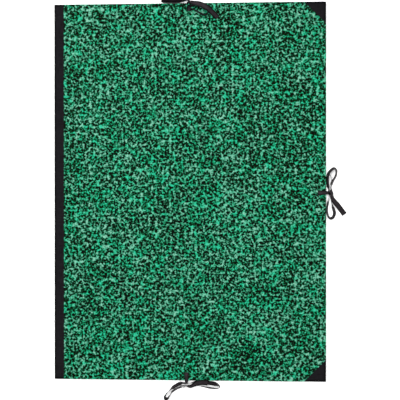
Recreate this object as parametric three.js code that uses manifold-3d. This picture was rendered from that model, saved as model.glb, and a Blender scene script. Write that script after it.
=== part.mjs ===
// Drawing portfolio: two paper-covered boards with a cloth spine, cloth corners and three ribbon ties.
//
// It lies closed on its back cover: X runs from the spine to the fore-edge, Y to the head, Z up.
// The origin is at the middle of the underside. All lengths are in millimetres, angles in degrees.

import * as THREE from 'three';
import { mergeVertices } from 'three/addons/utils/BufferGeometryUtils.js';
import Module from 'manifold-3d';

const WIDTH = 520; // closed cover, spine to fore-edge
const HEIGHT = 720; // closed cover, tail to head
const BOARD = 2.4; // greyboard thickness
const COVERING = 0.4; // marbled paper and book cloth
const TURN_IN = 12; // covering folded over on to the board's inner face
const LINING = 0.3; // pasted sheet inside each cover
const LINING_INSET = 5; // bare turn-in left round the lining
const COVERS_APART = 0.3; // between the two linings when the folder is closed

const SPINE_CLOTH_REACH = 19; // cloth seen on each cover, from the spine's outermost line
const SPINE_SLACK = 1; // from the round of the spine to the boards' edges
const CORNER_LEG = 42; // cloth corner, along each edge
const SEAM = 0.3; // between pieces of covering that meet edge to edge

const RIBBON_WIDTH = 10;
const RIBBON_THICKNESS = 0.3;
const RIBBON_TAB = 30; // glued under the lining
const RIBBON_LIFT = 0.05; // between a ribbon and the face that it lies on
const SLIT_FROM_EDGE = 15;
const SLIT_WIDTH = 1;
const SLIT_SIDE_ROOM = 0.5; // beyond each side of a ribbon in its slit and channel
const CHANNEL = 0.4; // depth to which a ribbon is pressed into the outer face
const RIBBON_OVER_EDGE = 1.4; // flat before the first point of its free part

const SIDE_TIE_Y = -2; // middle of the ribbons at the fore-edge
const HEAD_TIE_X = 0;
const TAIL_TIE_X = -5;

const STEPS_BETWEEN_POINTS = 3; // along a ribbon's route
const SPINE_FACETS = 12;
const BEYOND = 5; // how far a cutting block runs past what it cuts

// Heights in the back cover, from its outer face. The front cover is its mirror image.
const boardBottom = COVERING;
const boardTop = boardBottom + BOARD;
const turnInTop = boardTop + COVERING;
const liningTop = turnInTop + LINING;
const closedHeight = 2 * liningTop + COVERS_APART;

const foreEdge = WIDTH / 2;
const headEdge = HEIGHT / 2;
const spineLine = -WIDTH / 2;
const spineRadius = closedHeight / 2;
const spineCentre = spineLine + spineRadius;
const boardSpineEdge = spineCentre + SPINE_SLACK;
const clothEdge = spineLine + SPINE_CLOTH_REACH;

const wasm = await Module();
wasm.setup();

// A closed three.js geometry as a solid that can be cut and joined.
function solidOf(geometry) {
  const bare = geometry.clone();
  bare.deleteAttribute('normal');
  bare.deleteAttribute('uv');
  const merged = mergeVertices(bare);
  const vertProperties = new Float32Array(merged.attributes.position.array);
  const triVerts = new Uint32Array(merged.index.array);
  return new wasm.Manifold(new wasm.Mesh({ numProp: 3, vertProperties, triVerts }));
}

function geometryOf(solid) {
  const mesh = solid.getMesh();
  const geometry = new THREE.BufferGeometry();
  geometry.setAttribute('position', new THREE.BufferAttribute(new Float32Array(mesh.vertProperties), 3));
  geometry.setIndex(new THREE.BufferAttribute(new Uint32Array(mesh.triVerts), 1));
  return geometry;
}

function block(x0, x1, y0, y1, z0, z1) {
  const geometry = new THREE.BoxGeometry(x1 - x0, y1 - y0, z1 - z0);
  geometry.translate((x0 + x1) / 2, (y0 + y1) / 2, (z0 + z1) / 2);
  return solidOf(geometry);
}

// A section in X and Z, run along Y from y0 to y1.
function runAlongY(section, y0, y1) {
  const shape = new THREE.Shape(section.map(([x, z]) => new THREE.Vector2(x, z)));
  const geometry = new THREE.ExtrudeGeometry(shape, { depth: y1 - y0, bevelEnabled: false });
  geometry.rotateX(Math.PI / 2);
  geometry.translate(0, y1, 0);
  return solidOf(geometry);
}

// The same piece in the front cover, which is the back cover upside down.
function mirroredToFront(geometry) {
  const front = geometry.clone();
  front.scale(1, 1, -1);
  front.translate(0, 0, closedHeight);
  const index = front.index.array;
  for (let i = 0; i < index.length; i += 3) {
    [index[i], index[i + 1]] = [index[i + 1], index[i]];
  }
  return front;
}

// The three ties. Each has its own frame: `out` is away from the cover and `along` is to its left.
const ties = {
  side: {
    at: new THREE.Vector3(foreEdge, SIDE_TIE_Y, 0),
    out: new THREE.Vector3(1, 0, 0),
    along: new THREE.Vector3(0, 1, 0),
  },
  head: {
    at: new THREE.Vector3(HEAD_TIE_X, headEdge, 0),
    out: new THREE.Vector3(0, 1, 0),
    along: new THREE.Vector3(-1, 0, 0),
  },
  tail: {
    at: new THREE.Vector3(TAIL_TIE_X, -headEdge, 0),
    out: new THREE.Vector3(0, -1, 0),
    along: new THREE.Vector3(1, 0, 0),
  },
};

function inTieFrame(tie, out, along, z) {
  return tie.at.clone().addScaledVector(tie.out, out).addScaledVector(tie.along, along).setZ(z);
}

// A block in a tie's frame, as wide as `halfWidth` on each side of the ribbon's middle.
function tieBlock(tie, out0, out1, halfWidth, z0, z1) {
  const a = inTieFrame(tie, out0, -halfWidth, 0);
  const b = inTieFrame(tie, out1, halfWidth, 0);
  const low = a.clone().min(b);
  const high = a.clone().max(b);
  return block(low.x, high.x, low.y, high.y, z0, z1);
}

const channelHalf = RIBBON_WIDTH / 2 + SLIT_SIDE_ROOM;
const slitInner = -SLIT_FROM_EDGE - SLIT_WIDTH / 2;
const slitOuter = -SLIT_FROM_EDGE + SLIT_WIDTH / 2;

// The covering dips into the board under each ribbon, from the slit to the edge.
function withChannels(covering) {
  let result = covering;
  for (const tie of Object.values(ties)) {
    const wall = COVERING;
    const dip = tieBlock(tie, slitInner - wall, 0, channelHalf + wall, 0, CHANNEL + COVERING);
    const hollow = tieBlock(tie, slitInner, BEYOND, channelHalf, -BEYOND, CHANNEL);
    const slit = tieBlock(tie, slitInner, slitOuter, channelHalf, -BEYOND, turnInTop + BEYOND);
    result = result.add(dip).subtract(hollow).subtract(slit);
  }
  return result;
}

function backBoard() {
  let board = block(
    boardSpineEdge, foreEdge - COVERING,
    -headEdge + COVERING, headEdge - COVERING,
    boardBottom, boardTop,
  );
  for (const tie of Object.values(ties)) {
    const wall = COVERING;
    const bed = tieBlock(tie, slitInner - wall, BEYOND, channelHalf + wall, -BEYOND, CHANNEL + COVERING);
    const slit = tieBlock(tie, slitInner, slitOuter, channelHalf, -BEYOND, boardTop + BEYOND);
    board = board.subtract(bed).subtract(slit);
  }
  return geometryOf(board);
}

// Covering from the spine cloth's edge round the three free edges, with its turn-ins.
function wrappedCovering() {
  const spineSide = clothEdge + SEAM;
  const around = block(spineSide, foreEdge, -headEdge, headEdge, 0, turnInTop);
  const board = block(
    spineSide - BEYOND, foreEdge - COVERING,
    -headEdge + COVERING, headEdge - COVERING,
    boardBottom, boardTop,
  );
  const window = block(
    spineSide - BEYOND, foreEdge - TURN_IN,
    -headEdge + TURN_IN, headEdge - TURN_IN,
    boardTop - COVERING, turnInTop + BEYOND,
  );
  return around.subtract(board).subtract(window);
}

// A three-cornered prism over an outer corner, with its long side at 45 degrees.
function cornerPrism(headward, leg) {
  const outline = [
    [foreEdge - leg, headEdge],
    [foreEdge - leg, headEdge + BEYOND],
    [foreEdge + BEYOND, headEdge + BEYOND],
    [foreEdge + BEYOND, headEdge - leg],
    [foreEdge, headEdge - leg],
  ];
  const points = outline.map(([x, y]) => new THREE.Vector2(x, headward * y));
  const depth = turnInTop + 2 * BEYOND;
  const geometry = new THREE.ExtrudeGeometry(new THREE.Shape(points), { depth, bevelEnabled: false });
  geometry.translate(0, 0, -BEYOND);
  return solidOf(geometry);
}

function backPaper() {
  const legWithSeam = CORNER_LEG + SEAM * Math.SQRT2;
  const paper = wrappedCovering()
    .subtract(cornerPrism(1, legWithSeam))
    .subtract(cornerPrism(-1, legWithSeam));
  return geometryOf(withChannels(paper));
}

function backCornerCloth(headward) {
  return geometryOf(wrappedCovering().intersect(cornerPrism(headward, CORNER_LEG)));
}

function backLining() {
  const lining = block(
    boardSpineEdge + LINING_INSET, foreEdge - LINING_INSET,
    -headEdge + LINING_INSET, headEdge - LINING_INSET,
    turnInTop, liningTop,
  );
  return geometryOf(lining);
}

// Points of the half round of the spine, from its lower to its upper end.
function spineArc(radius) {
  const points = [];
  for (let i = 0; i <= SPINE_FACETS; i += 1) {
    const angle = Math.PI * (-0.5 - i / SPINE_FACETS);
    points.push([spineCentre + radius * Math.cos(angle), spineRadius + radius * Math.sin(angle)]);
  }
  return points;
}

// A section with `outer` outside and `inner` inside, both from the lower to the upper cover.
function spineSection(outer, inner) {
  return [...outer, ...inner.reverse()];
}

function fromBothCovers(lower, radius) {
  const upper = lower.map(([x, z]) => [x, closedHeight - z]).reverse();
  return [...lower, ...spineArc(radius), ...upper];
}

// One strip of cloth glued to both covers' outer faces and turned in at head and tail.
function spineCloth() {
  const outside = () => fromBothCovers([[clothEdge, 0]], spineRadius);
  const inside = () => fromBothCovers([[clothEdge, boardBottom]], spineRadius - COVERING);
  const overBoards = () => fromBothCovers(
    [[clothEdge, boardTop], [boardSpineEdge, boardTop], [boardSpineEdge, boardBottom]],
    spineRadius - COVERING,
  );
  const innermost = () => fromBothCovers(
    [
      [clothEdge, turnInTop],
      [boardSpineEdge - COVERING, turnInTop],
      [boardSpineEdge - COVERING, boardBottom + COVERING],
    ],
    spineRadius - 2 * COVERING,
  );
  let cloth = runAlongY(spineSection(outside(), inside()), -headEdge, headEdge);
  const turnIn = spineSection(overBoards(), innermost());
  const endWall = spineSection(outside(), innermost());
  cloth = cloth
    .add(runAlongY(turnIn, headEdge - TURN_IN, headEdge))
    .add(runAlongY(turnIn, -headEdge, -headEdge + TURN_IN))
    .add(runAlongY(endWall, headEdge - COVERING, headEdge))
    .add(runAlongY(endWall, -headEdge, -headEdge + COVERING));
  return geometryOf(cloth);
}

// The free part of each ribbon, from the cover's edge: half of a tied bow, laid on the surface.
// Each point is [out, along, height, tilt, pinch]. Tilt turns the ribbon's width about its way:
// at 0 it lies flat and at 90 or -90 it stands on edge. Pinch is its share of the full width,
// 1 where it isn't given. Heights are above the surface, or above the cover at the head's front.
const sideFrontRoute = [
  [1.6, 0.1, 7.0, -10, 0.88], [3.3, 0.3, 6.9, -34, 0.74], [4.7, 1.4, 6.8, -58, 0.68],
  [5.2, 3.6, 6.6, -75, 0.72], [4.8, 6.8, 6.1, -84, 0.84], [3.7, 12, 5.7, -90], [2.8, 19, 5.5, -90],
  [2.7, 29, 5.5, -90], [4.8, 37, 5.5, -90], [9.2, 42.6, 5.5, -90], [15.6, 46.6, 5.5, -90],
  [19, 43.4, 5.5, -90], [19.4, 38, 5.5, -90], [17.6, 30.6, 5.5, -90], [13.8, 24, 5.5, -90],
  [11, 17, 5.5, -90], [10.4, 10, 5.8, -88], [10.5, 5.2, 6.9, -72, 0.85], [10.2, 1, 9.2, -34, 0.7],
  [9.8, -4, 10.6, -4, 0.65], [11, -9.6, 10.7, 0, 0.72], [14.4, -15.4, 9.4, 0, 0.9],
  [20.4, -22, 6.2, -2], [27.2, -30.4, 2.8, -4], [35.4, -41, 1.0, -4],
];
const sideBackRoute = [
  [2.2, -0.1, 0.9, -8, 0.9], [3.9, -0.4, 2.4, -30, 0.8], [5.2, -1.6, 3.6, -54, 0.78],
  [5.8, -3.8, 4.2, -72, 0.8], [5.6, -7, 4.7, -84, 0.88], [4.9, -12, 5.3, -90, 0.97],
  [3.8, -18, 5.5, -90], [1.9, -28, 5.5, -90], [2.0, -37, 5.5, -90], [4.4, -45, 5.5, -90],
  [8.8, -48.6, 5.5, -90], [13.4, -45.6, 5.5, -90], [15.8, -38, 5.5, -90], [13.2, -28.6, 5.5, -90],
  [10.6, -19.6, 5.2, -90, 0.9], [9, -11, 4.4, -90, 0.78], [8.2, -4, 4.3, -90, 0.75],
  [7.7, 4, 4.3, -90, 0.75], [7.8, 11, 5.0, -90, 0.9], [9.2, 18, 5.5, -90], [11.2, 23.4, 5.5, -90],
  [9.8, 28.6, 5.5, -90], [6.8, 34.6, 5.5, -90],
];
const tailFrontRoute = [
  [1.6, -0.1, 7.0, 10, 0.88], [3.3, -0.3, 6.9, 34, 0.74], [4.7, -1.4, 6.8, 58, 0.68],
  [5.2, -3.6, 6.6, 75, 0.72], [5.2, -6.8, 6.1, 84, 0.84], [6.2, -11.4, 5.7, 90], [8.6, -17, 5.5, 90],
  [13.4, -25, 5.5, 90], [19, -32.4, 5.5, 92], [25.8, -38.4, 5.3, 100], [31.6, -41.6, 5.1, 108],
  [35.8, -40.6, 5.0, 112], [35.8, -36.8, 5.1, 108], [29.2, -31.8, 5.4, 96], [21.6, -26.4, 5.5, 90],
  [16.6, -19.6, 5.5, 90], [13.8, -12, 5.5, 90], [12.7, -4, 5.6, 88], [12.6, 1.6, 6.9, 68, 0.85],
  [11.8, 6.2, 9.4, 32, 0.7], [9.2, 11, 11.2, 4, 0.65], [6.2, 16.6, 11.6, 0, 0.85],
  [3.6, 23.4, 11.5, 0], [2.6, 31, 11.3, 0], [3.4, 40.6, 11.1, 0],
];
const tailBackRoute = [
  [2.2, 0.1, 0.9, 8, 0.9], [3.9, 0.4, 2.4, 30, 0.8], [5.2, 1.6, 3.6, 54, 0.78],
  [5.8, 3.8, 4.2, 72, 0.8], [5.4, 7, 4.7, 84, 0.88], [4.4, 12, 5.3, 90, 0.97],
  [3.2, 20, 5.5, 90], [3.4, 32, 5.5, 90], [4.6, 44, 5.5, 90], [6.6, 55, 5.5, 90],
  [9.2, 62, 5.5, 92], [12.6, 63.4, 5.4, 98], [15, 59.6, 5.1, 110], [15.2, 52, 4.8, 120],
  [13.8, 42, 4.8, 120], [11.8, 31, 4.9, 112], [10.2, 20, 5.3, 98], [9.5, 10, 4.5, 90, 0.8],
  [9.6, 2, 4.5, 90, 0.8], [10, -5, 4.9, 90, 0.9], [11.4, -13, 5.5, 90],
];
const headFrontRoute = [
  [-12.2, 0, 0.4, 0], [-10.2, 0, 0.9, 8, 0.9], [-8.5, -0.3, 2.2, 32, 0.76],
  [-7.2, -1.5, 3.2, 57, 0.7], [-6.7, -3.9, 3.8, 74, 0.74], [-6.2, -7.2, 4.5, 84, 0.85],
  [-5.0, -11.6, 5.2, 90, 0.97], [-4.4, -17, 5.4, 90], [-5.8, -25, 5.4, 90], [-10, -33, 5.4, 90],
  [-16.6, -37, 5.4, 90], [-22.4, -34.6, 5.4, 90], [-23.4, -28.6, 5.4, 90], [-19.6, -20, 5.4, 90],
  [-15, -12, 5.5, 90], [-12, -6, 6.4, 90, 0.85], [-9.8, -1, 8.4, 90, 0.65],
  [-6.8, 2.4, 9.0, 86, 0.6], [-3.0, 2.3, 9.6, 74, 0.6], [-1.2, -1.2, 10.5, 48, 0.62],
  [-1.5, -6, 11.4, 14, 0.7], [-2.8, -12, 11.5, 0, 0.85], [-4.4, -20, 11.5, 0],
  [-7.4, -28, 11.4, 2], [-12.4, -36.4, 10.6, 4], [-19.6, -45, 6.2, 6], [-28.6, -55, 1.2, 4],
];
const headBackRoute = [
  [2.2, 0.1, 0.9, 8, 0.9], [3.9, 0.4, 2.4, 30, 0.8], [5.0, 1.6, 3.6, 54, 0.78],
  [5.4, 3.8, 4.2, 72, 0.8], [4.7, 7.4, 4.7, 84, 0.88], [3.3, 12, 5.3, 90, 0.97],
  [2.1, 18, 5.5, 90], [1.8, 28, 5.5, 90], [2.0, 38, 5.5, 90], [2.2, 46, 5.5, 90],
  [3.2, 50.6, 5.5, 90], [5.2, 50.2, 5.5, 90], [5.9, 45, 5.5, 90], [5.7, 34, 5.5, 90],
  [5.7, 22, 5.5, 90], [6.6, 12, 5.3, 90], [7.8, 4, 4.6, 90, 0.85], [9.2, 1, 4.5, 90, 0.8],
  [10.6, 4.2, 4.6, 90, 0.8], [8.8, 12, 5.3, 90], [6.9, 21, 5.5, 90], [6.9, 29, 5.5, 90],
  [9.6, 35, 5.5, 90], [16, 38, 5.5, 90], [26, 38.6, 5.5, 90], [37, 37.4, 5.5, 90],
];

const ribbons = [
  { name: 'front_side_ribbon', tie: ties.side, front: true, route: sideFrontRoute, datum: 0 },
  { name: 'front_head_ribbon', tie: ties.head, front: true, route: headFrontRoute, datum: closedHeight },
  { name: 'front_tail_ribbon', tie: ties.tail, front: true, route: tailFrontRoute, datum: 0 },
  { name: 'back_side_ribbon', tie: ties.side, front: false, route: sideBackRoute, datum: 0 },
  { name: 'back_head_ribbon', tie: ties.head, front: false, route: headBackRoute, datum: 0 },
  { name: 'back_tail_ribbon', tie: ties.tail, front: false, route: tailBackRoute, datum: 0 },
];

// The glued tab, the passage through the slit and the start of the way along the outer face.
function heldStations({ tie, front, route }) {
  const middle = RIBBON_LIFT + RIBBON_THICKNESS / 2;
  const tabHeight = boardTop + middle;
  const corner = SLIT_WIDTH / 2 - RIBBON_THICKNESS / 2;
  const onFace = route[0][0] - RIBBON_OVER_EDGE;
  const section = [
    [slitInner - RIBBON_TAB, tabHeight],
    [-SLIT_FROM_EDGE - corner, tabHeight],
    [-SLIT_FROM_EDGE, tabHeight - corner],
    [-SLIT_FROM_EDGE, middle + corner],
    [-SLIT_FROM_EDGE + corner, middle],
    [onFace, middle],
  ];
  return section.map(([out, height]) => ({
    point: inTieFrame(tie, out, 0, front ? closedHeight - height : height),
    tilt: 0,
    width: RIBBON_WIDTH,
  }));
}

// The free part as closely set stations on a smooth curve through the route's points.
function freeStations({ tie, route, datum }, start) {
  const places = route.map(([out, along, height]) => inTieFrame(tie, out, along, datum + height));
  const curve = new THREE.CatmullRomCurve3([start, ...places], false, 'centripetal');
  const tilts = [0, ...route.map((point) => point[3])];
  const pinches = [1, ...route.map((point) => point[4] ?? 1)];
  const stations = [];
  const count = route.length * STEPS_BETWEEN_POINTS;
  for (let i = 1; i <= count; i += 1) {
    const along = i / STEPS_BETWEEN_POINTS;
    const before = Math.min(Math.floor(along), route.length - 1);
    const share = along - before;
    stations.push({
      point: curve.getPoint(i / count),
      tilt: THREE.MathUtils.lerp(tilts[before], tilts[before + 1], share),
      width: RIBBON_WIDTH * THREE.MathUtils.lerp(pinches[before], pinches[before + 1], share),
    });
  }
  return stations;
}

// A flat ribbon with square edges, swept through its stations.
function ribbonGeometry(ribbon) {
  const held = heldStations(ribbon);
  const stations = [...held, ...freeStations(ribbon, held[held.length - 1].point)];
  const up = new THREE.Vector3(0, 0, 1);
  const positions = [];
  let across = ribbon.tie.along.clone();
  stations.forEach((station, i) => {
    const before = stations[Math.max(i - 1, 0)].point;
    const after = stations[Math.min(i + 1, stations.length - 1)].point;
    const into = station.point.clone().sub(before).normalize();
    const outOf = after.clone().sub(station.point).normalize();
    const way = into.clone().add(outOf).normalize();
    const level = up.clone().cross(way);
    if (level.length() > 0.3) across = level.normalize();
    const tilt = THREE.MathUtils.degToRad(station.tilt);
    const width = across.clone().multiplyScalar(Math.cos(tilt)).addScaledVector(up, Math.sin(tilt));
    width.addScaledVector(way, -width.dot(way)).normalize();
    const face = way.clone().cross(width);
    const atEnd = i === 0 || i === stations.length - 1;
    const mitre = atEnd ? 1 : 1 / Math.max(0.7, Math.cos(into.angleTo(outOf) / 2));
    const halfWidth = station.width / 2;
    const halfThickness = (RIBBON_THICKNESS / 2) * mitre;
    for (const [w, f] of [[-1, -1], [1, -1], [1, 1], [-1, 1]]) {
      const corner = station.point.clone()
        .addScaledVector(width, w * halfWidth)
        .addScaledVector(face, f * halfThickness);
      positions.push(corner.x, corner.y, corner.z);
    }
  });
  const index = [0, 2, 1, 0, 3, 2];
  for (let i = 0; i < stations.length - 1; i += 1) {
    for (let side = 0; side < 4; side += 1) {
      const a = 4 * i + side;
      const b = 4 * i + ((side + 1) % 4);
      index.push(a, b, a + 4, b, b + 4, a + 4);
    }
  }
  const end = 4 * (stations.length - 1);
  index.push(end, end + 1, end + 2, end, end + 2, end + 3);
  const geometry = new THREE.BufferGeometry();
  geometry.setAttribute('position', new THREE.Float32BufferAttribute(positions, 3));
  geometry.setIndex(new THREE.BufferAttribute(new Uint32Array(index), 1));
  return geometry;
}

const greyboard = new THREE.MeshStandardMaterial({ color: 0x9a958a, roughness: 0.9, metalness: 0 });
const mottledPaper = new THREE.MeshStandardMaterial({ color: 0x249070, roughness: 0.55, metalness: 0 });
const bookCloth = new THREE.MeshStandardMaterial({ color: 0x232124, roughness: 0.85, metalness: 0 });
const liningPaper = new THREE.MeshStandardMaterial({ color: 0xd8d4c8, roughness: 0.9, metalness: 0 });
const satin = new THREE.MeshStandardMaterial({ color: 0x151416, roughness: 0.45, metalness: 0 });

function part(name, geometry, material) {
  const mesh = new THREE.Mesh(geometry, material);
  mesh.name = name;
  return mesh;
}

const folder = new THREE.Group();
folder.name = 'drawing_portfolio';

const coverPieces = [
  ['board', backBoard(), greyboard],
  ['paper', backPaper(), mottledPaper],
  ['head_corner_cloth', backCornerCloth(1), bookCloth],
  ['tail_corner_cloth', backCornerCloth(-1), bookCloth],
  ['lining', backLining(), liningPaper],
];
for (const [name, geometry, material] of coverPieces) {
  folder.add(part(`back_${name}`, geometry, material));
  folder.add(part(`front_${name}`, mirroredToFront(geometry), material));
}
folder.add(part('spine_cloth', spineCloth(), bookCloth));
for (const ribbon of ribbons) {
  folder.add(part(ribbon.name, ribbonGeometry(ribbon), satin));
}

export default folder;
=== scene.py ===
"""Tied drawing portfolio: mottled paper over two boards, black cloth spine and corners, three ribbon bows."""

import logging
import math
from collections.abc import Iterable, Mapping, Sequence
from dataclasses import dataclass
from enum import Enum
from typing import Any

import bmesh
import bpy
from mathutils import Matrix, Vector


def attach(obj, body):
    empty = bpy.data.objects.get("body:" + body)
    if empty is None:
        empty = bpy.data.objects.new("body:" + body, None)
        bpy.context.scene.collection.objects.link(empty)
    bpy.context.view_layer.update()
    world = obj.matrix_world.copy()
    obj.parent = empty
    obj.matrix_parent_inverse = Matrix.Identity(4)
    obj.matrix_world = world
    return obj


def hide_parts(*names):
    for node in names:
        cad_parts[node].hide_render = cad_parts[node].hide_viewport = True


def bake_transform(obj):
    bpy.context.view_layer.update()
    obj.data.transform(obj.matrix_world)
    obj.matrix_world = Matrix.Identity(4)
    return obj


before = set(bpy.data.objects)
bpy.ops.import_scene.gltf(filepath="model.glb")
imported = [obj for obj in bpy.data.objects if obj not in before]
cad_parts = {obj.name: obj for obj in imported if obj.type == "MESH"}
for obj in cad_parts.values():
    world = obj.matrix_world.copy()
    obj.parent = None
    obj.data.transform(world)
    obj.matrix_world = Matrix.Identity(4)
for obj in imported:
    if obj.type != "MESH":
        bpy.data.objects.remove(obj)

log = logging.getLogger("portfolio")

MM = 0.001
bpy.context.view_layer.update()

LIGHT = 1.5  # strength of the studio's light on the floor, where 1 shows a white surface as white
SAME = 1e-7  # metres within which a vertex lies on a plane that was cut or built there
NEAR = 1e-6  # metres within which vertices count as one, or a face's middle as on a level

Colour = tuple[float, float, float]


class Cover(Enum):
    """Which of the two covers a piece belongs to."""

    BACK = "back"
    FRONT = "front"

    @property
    def body(self) -> str:
        """Name of the moving body."""
        return f"{self.value}_cover"


class Tie(Enum):
    """The three places where a pair of ribbons leaves the covers."""

    SIDE = "side"
    HEAD = "head"
    TAIL = "tail"


class Slot(Enum):
    """Material slots of the record."""

    GREYBOARD = "greyboard"
    MOTTLED_PAPER = "mottled_paper"
    BOOK_CLOTH = "book_cloth"
    LINING_PAPER = "lining_paper"
    RIBBON = "ribbon"


@dataclass(frozen=True)
class FolderSizes:
    """Sizes of the closed folder, in metres."""

    width: float = 520 * MM
    height: float = 720 * MM
    board: float = 2.4 * MM
    covering: float = 0.4 * MM
    turn_in: float = 12 * MM
    lining: float = 0.3 * MM
    covers_apart: float = 0.3 * MM
    cloth_reach: float = 19 * MM
    spine_slack: float = 1 * MM
    corner_leg: float = 42 * MM
    slit_from_edge: float = 15 * MM
    slit_width: float = 1 * MM
    channel: float = 0.4 * MM
    channel_half: float = 5.5 * MM

    @property
    def fore_edge(self) -> float:
        """X of the fore-edge."""
        return self.width / 2

    @property
    def head_edge(self) -> float:
        """Y of the head edge."""
        return self.height / 2

    @property
    def board_top(self) -> float:
        """Inner face of the back board."""
        return self.covering + self.board

    @property
    def turn_in_top(self) -> float:
        """Inner face of the back cover's turned-in covering."""
        return self.board_top + self.covering

    @property
    def closed_height(self) -> float:
        """Thickness of the closed folder."""
        return 2 * (self.turn_in_top + self.lining) + self.covers_apart

    @property
    def cloth_edge(self) -> float:
        """X at which the spine cloth ends on the covers."""
        return -self.fore_edge + self.cloth_reach

    @property
    def spine_radius(self) -> float:
        """Radius of the round of the spine."""
        return self.closed_height / 2

    @property
    def spine_centre(self) -> float:
        """X of the middle of the spine's round."""
        return -self.fore_edge + self.spine_radius

    @property
    def board_spine_edge(self) -> float:
        """X of the boards' edges at the spine."""
        return self.spine_centre + self.spine_slack


@dataclass(frozen=True)
class TieFrame:
    """A tie's own frame: away from the cover and along its edge."""

    at: Vector
    out: Vector
    along: Vector

    def place(self, out: float, along: float, height: float) -> Vector:
        """Put a point of the tie's frame into the folder's.

        Args:
            out: Distance beyond the cover's edge.
            along: Distance along the edge.
            height: Height above the underside.

        Returns:
            The point in the folder's frame.
        """
        point = self.at + self.out * out + self.along * along
        point.z = height
        return point


def end_name(headward: int) -> str:
    """Name the end of the folder that 1 or -1 stands for."""
    return "head" if headward > 0 else "tail"


def tie_frames(sizes: FolderSizes) -> dict[Tie, TieFrame]:
    """Set out the three ties.

    Args:
        sizes: The folder's sizes.

    Returns:
        The frame of each tie.
    """
    return {
        Tie.SIDE: TieFrame(Vector((sizes.fore_edge, -2 * MM, 0)), Vector((1, 0, 0)), Vector((0, 1, 0))),
        Tie.HEAD: TieFrame(Vector((0, sizes.head_edge, 0)), Vector((0, 1, 0)), Vector((-1, 0, 0))),
        Tie.TAIL: TieFrame(Vector((-5 * MM, -sizes.head_edge, 0)), Vector((0, -1, 0)), Vector((1, 0, 0))),
    }


class Bench:
    """A node tree being wired."""

    def __init__(self, tree: bpy.types.NodeTree) -> None:
        """Keep the tree that nodes are added to."""
        self.tree = tree

    def add(self, kind: str, inputs: Mapping[Any, Any] | None = None, **settings: Any) -> bpy.types.Node:
        """Add a node.

        Args:
            kind: The node's type name.
            inputs: Values or sockets for its inputs, by name or number.
            settings: Properties of the node itself.

        Returns:
            The new node.
        """
        node = self.tree.nodes.new(kind)
        for name, value in settings.items():
            setattr(node, name, value)
        for name, value in (inputs or {}).items():
            if isinstance(value, bpy.types.NodeSocket):
                self.tree.links.new(value, node.inputs[name])
            else:
                node.inputs[name].default_value = value
        return node

    def math(self, operation: str, a: Any, b: Any = 0.0, clamp: bool = False) -> bpy.types.NodeSocket:
        """Combine two values with a Math node and return the result's socket."""
        node = self.add("ShaderNodeMath", {0: a, 1: b}, operation=operation, use_clamp=clamp)
        return node.outputs[0]

    def times(self, a: Any, b: Any) -> bpy.types.NodeSocket:
        """Multiply two values and return the product's socket."""
        return self.math("MULTIPLY", a, b)

    def total(self, *values: Any) -> bpy.types.NodeSocket:
        """Add values up in order and return the sum's socket.

        Args:
            values: Numbers or sockets.

        Returns:
            The sum's socket.
        """
        result = values[0]
        for value in values[1:]:
            result = self.math("ADD", result, value)
        return result

    def mix(self, share: Any, a: Any, b: Any, blend: str = "MIX") -> bpy.types.NodeSocket:
        """Mix two colours and return the result's socket."""
        node = self.add("ShaderNodeMix", {0: share, 6: a, 7: b}, data_type="RGBA", blend_type=blend)
        return node.outputs[2]

    def spread(self, value: Any, low: float, high: float, to_low: float, to_high: float) -> bpy.types.NodeSocket:
        """Map a range of values on to another, clamped, and return the result's socket."""
        node = self.add("ShaderNodeMapRange", {0: value, 1: low, 2: high, 3: to_low, 4: to_high})
        return node.outputs[0]

    def noise(self, vector: Any, size: float, detail: float = 2.0, roughness: float = 0.5,
              distortion: float = 0.0) -> bpy.types.NodeSocket:
        """Add a Noise texture.

        Args:
            vector: Coordinates in metres.
            size: Distance from one blotch to the next, in metres.
            detail: Number of finer layers.
            roughness: Strength of the finer layers.
            distortion: How far the blotches are pulled out of shape.

        Returns:
            The socket with the value.
        """
        values = {"Vector": vector, "Scale": 1 / size, "Detail": detail, "Roughness": roughness,
                  "Distortion": distortion}
        return self.add("ShaderNodeTexNoise", values).outputs["Fac"]

    def sway(self, vector: Any, size: float) -> bpy.types.NodeSocket:
        """Add a small offset that pulls a pattern out of line and return its socket.

        Args:
            vector: Coordinates in metres.
            size: Distance from one pull to the next, in metres.

        Returns:
            The offset's socket.
        """
        values = {"Vector": vector, "Scale": 1 / size, "Detail": 1.0}
        colour = self.add("ShaderNodeTexNoise", values).outputs["Color"]
        centred = self.add("ShaderNodeVectorMath", {0: colour, 1: (0.5, 0.5, 0.5)}, operation="SUBTRACT")
        scaled = self.add("ShaderNodeVectorMath", {0: centred.outputs[0], "Scale": 0.7 * size}, operation="SCALE")
        return scaled.outputs[0]

    def ramp(self, share: Any, stops: Sequence[tuple[float, Colour]]) -> bpy.types.NodeSocket:
        """Colour a value by stops and return the colour's socket.

        Args:
            share: The value, from 0 to 1.
            stops: Places and their colours, in order.

        Returns:
            The colour's socket.
        """
        node = self.add("ShaderNodeValToRGB", {0: share})
        elements = node.color_ramp.elements
        while len(elements) < len(stops):
            elements.new(1.0)
        for element, (place, colour) in zip(elements, stops):
            element.position = place
            element.color = (*colour, 1)
        return node.outputs["Color"]

    def link(self, out: bpy.types.NodeSocket, into: bpy.types.NodeSocket) -> None:
        """Join two sockets."""
        self.tree.links.new(out, into)


def linear(red: int, green: int, blue: int) -> Colour:
    """Turn a colour as it looks under the studio's light into the surface's own colour.

    Args:
        red: Red from 0 to 255.
        green: Green from 0 to 255.
        blue: Blue from 0 to 255.

    Returns:
        The surface's colour in linear light.
    """
    def channel(value: int) -> float:
        """Undo the screen's curve for one channel."""
        share = value / 255
        return (share / 12.92 if share <= 0.04045 else ((share + 0.055) / 1.055) ** 2.4) / LIGHT

    return channel(red), channel(green), channel(blue)


def paint(red: int, green: int, blue: int) -> tuple[float, ...]:
    """Give the same colour as a solid one for a node's input."""
    return (*linear(red, green, blue), 1)


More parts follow.
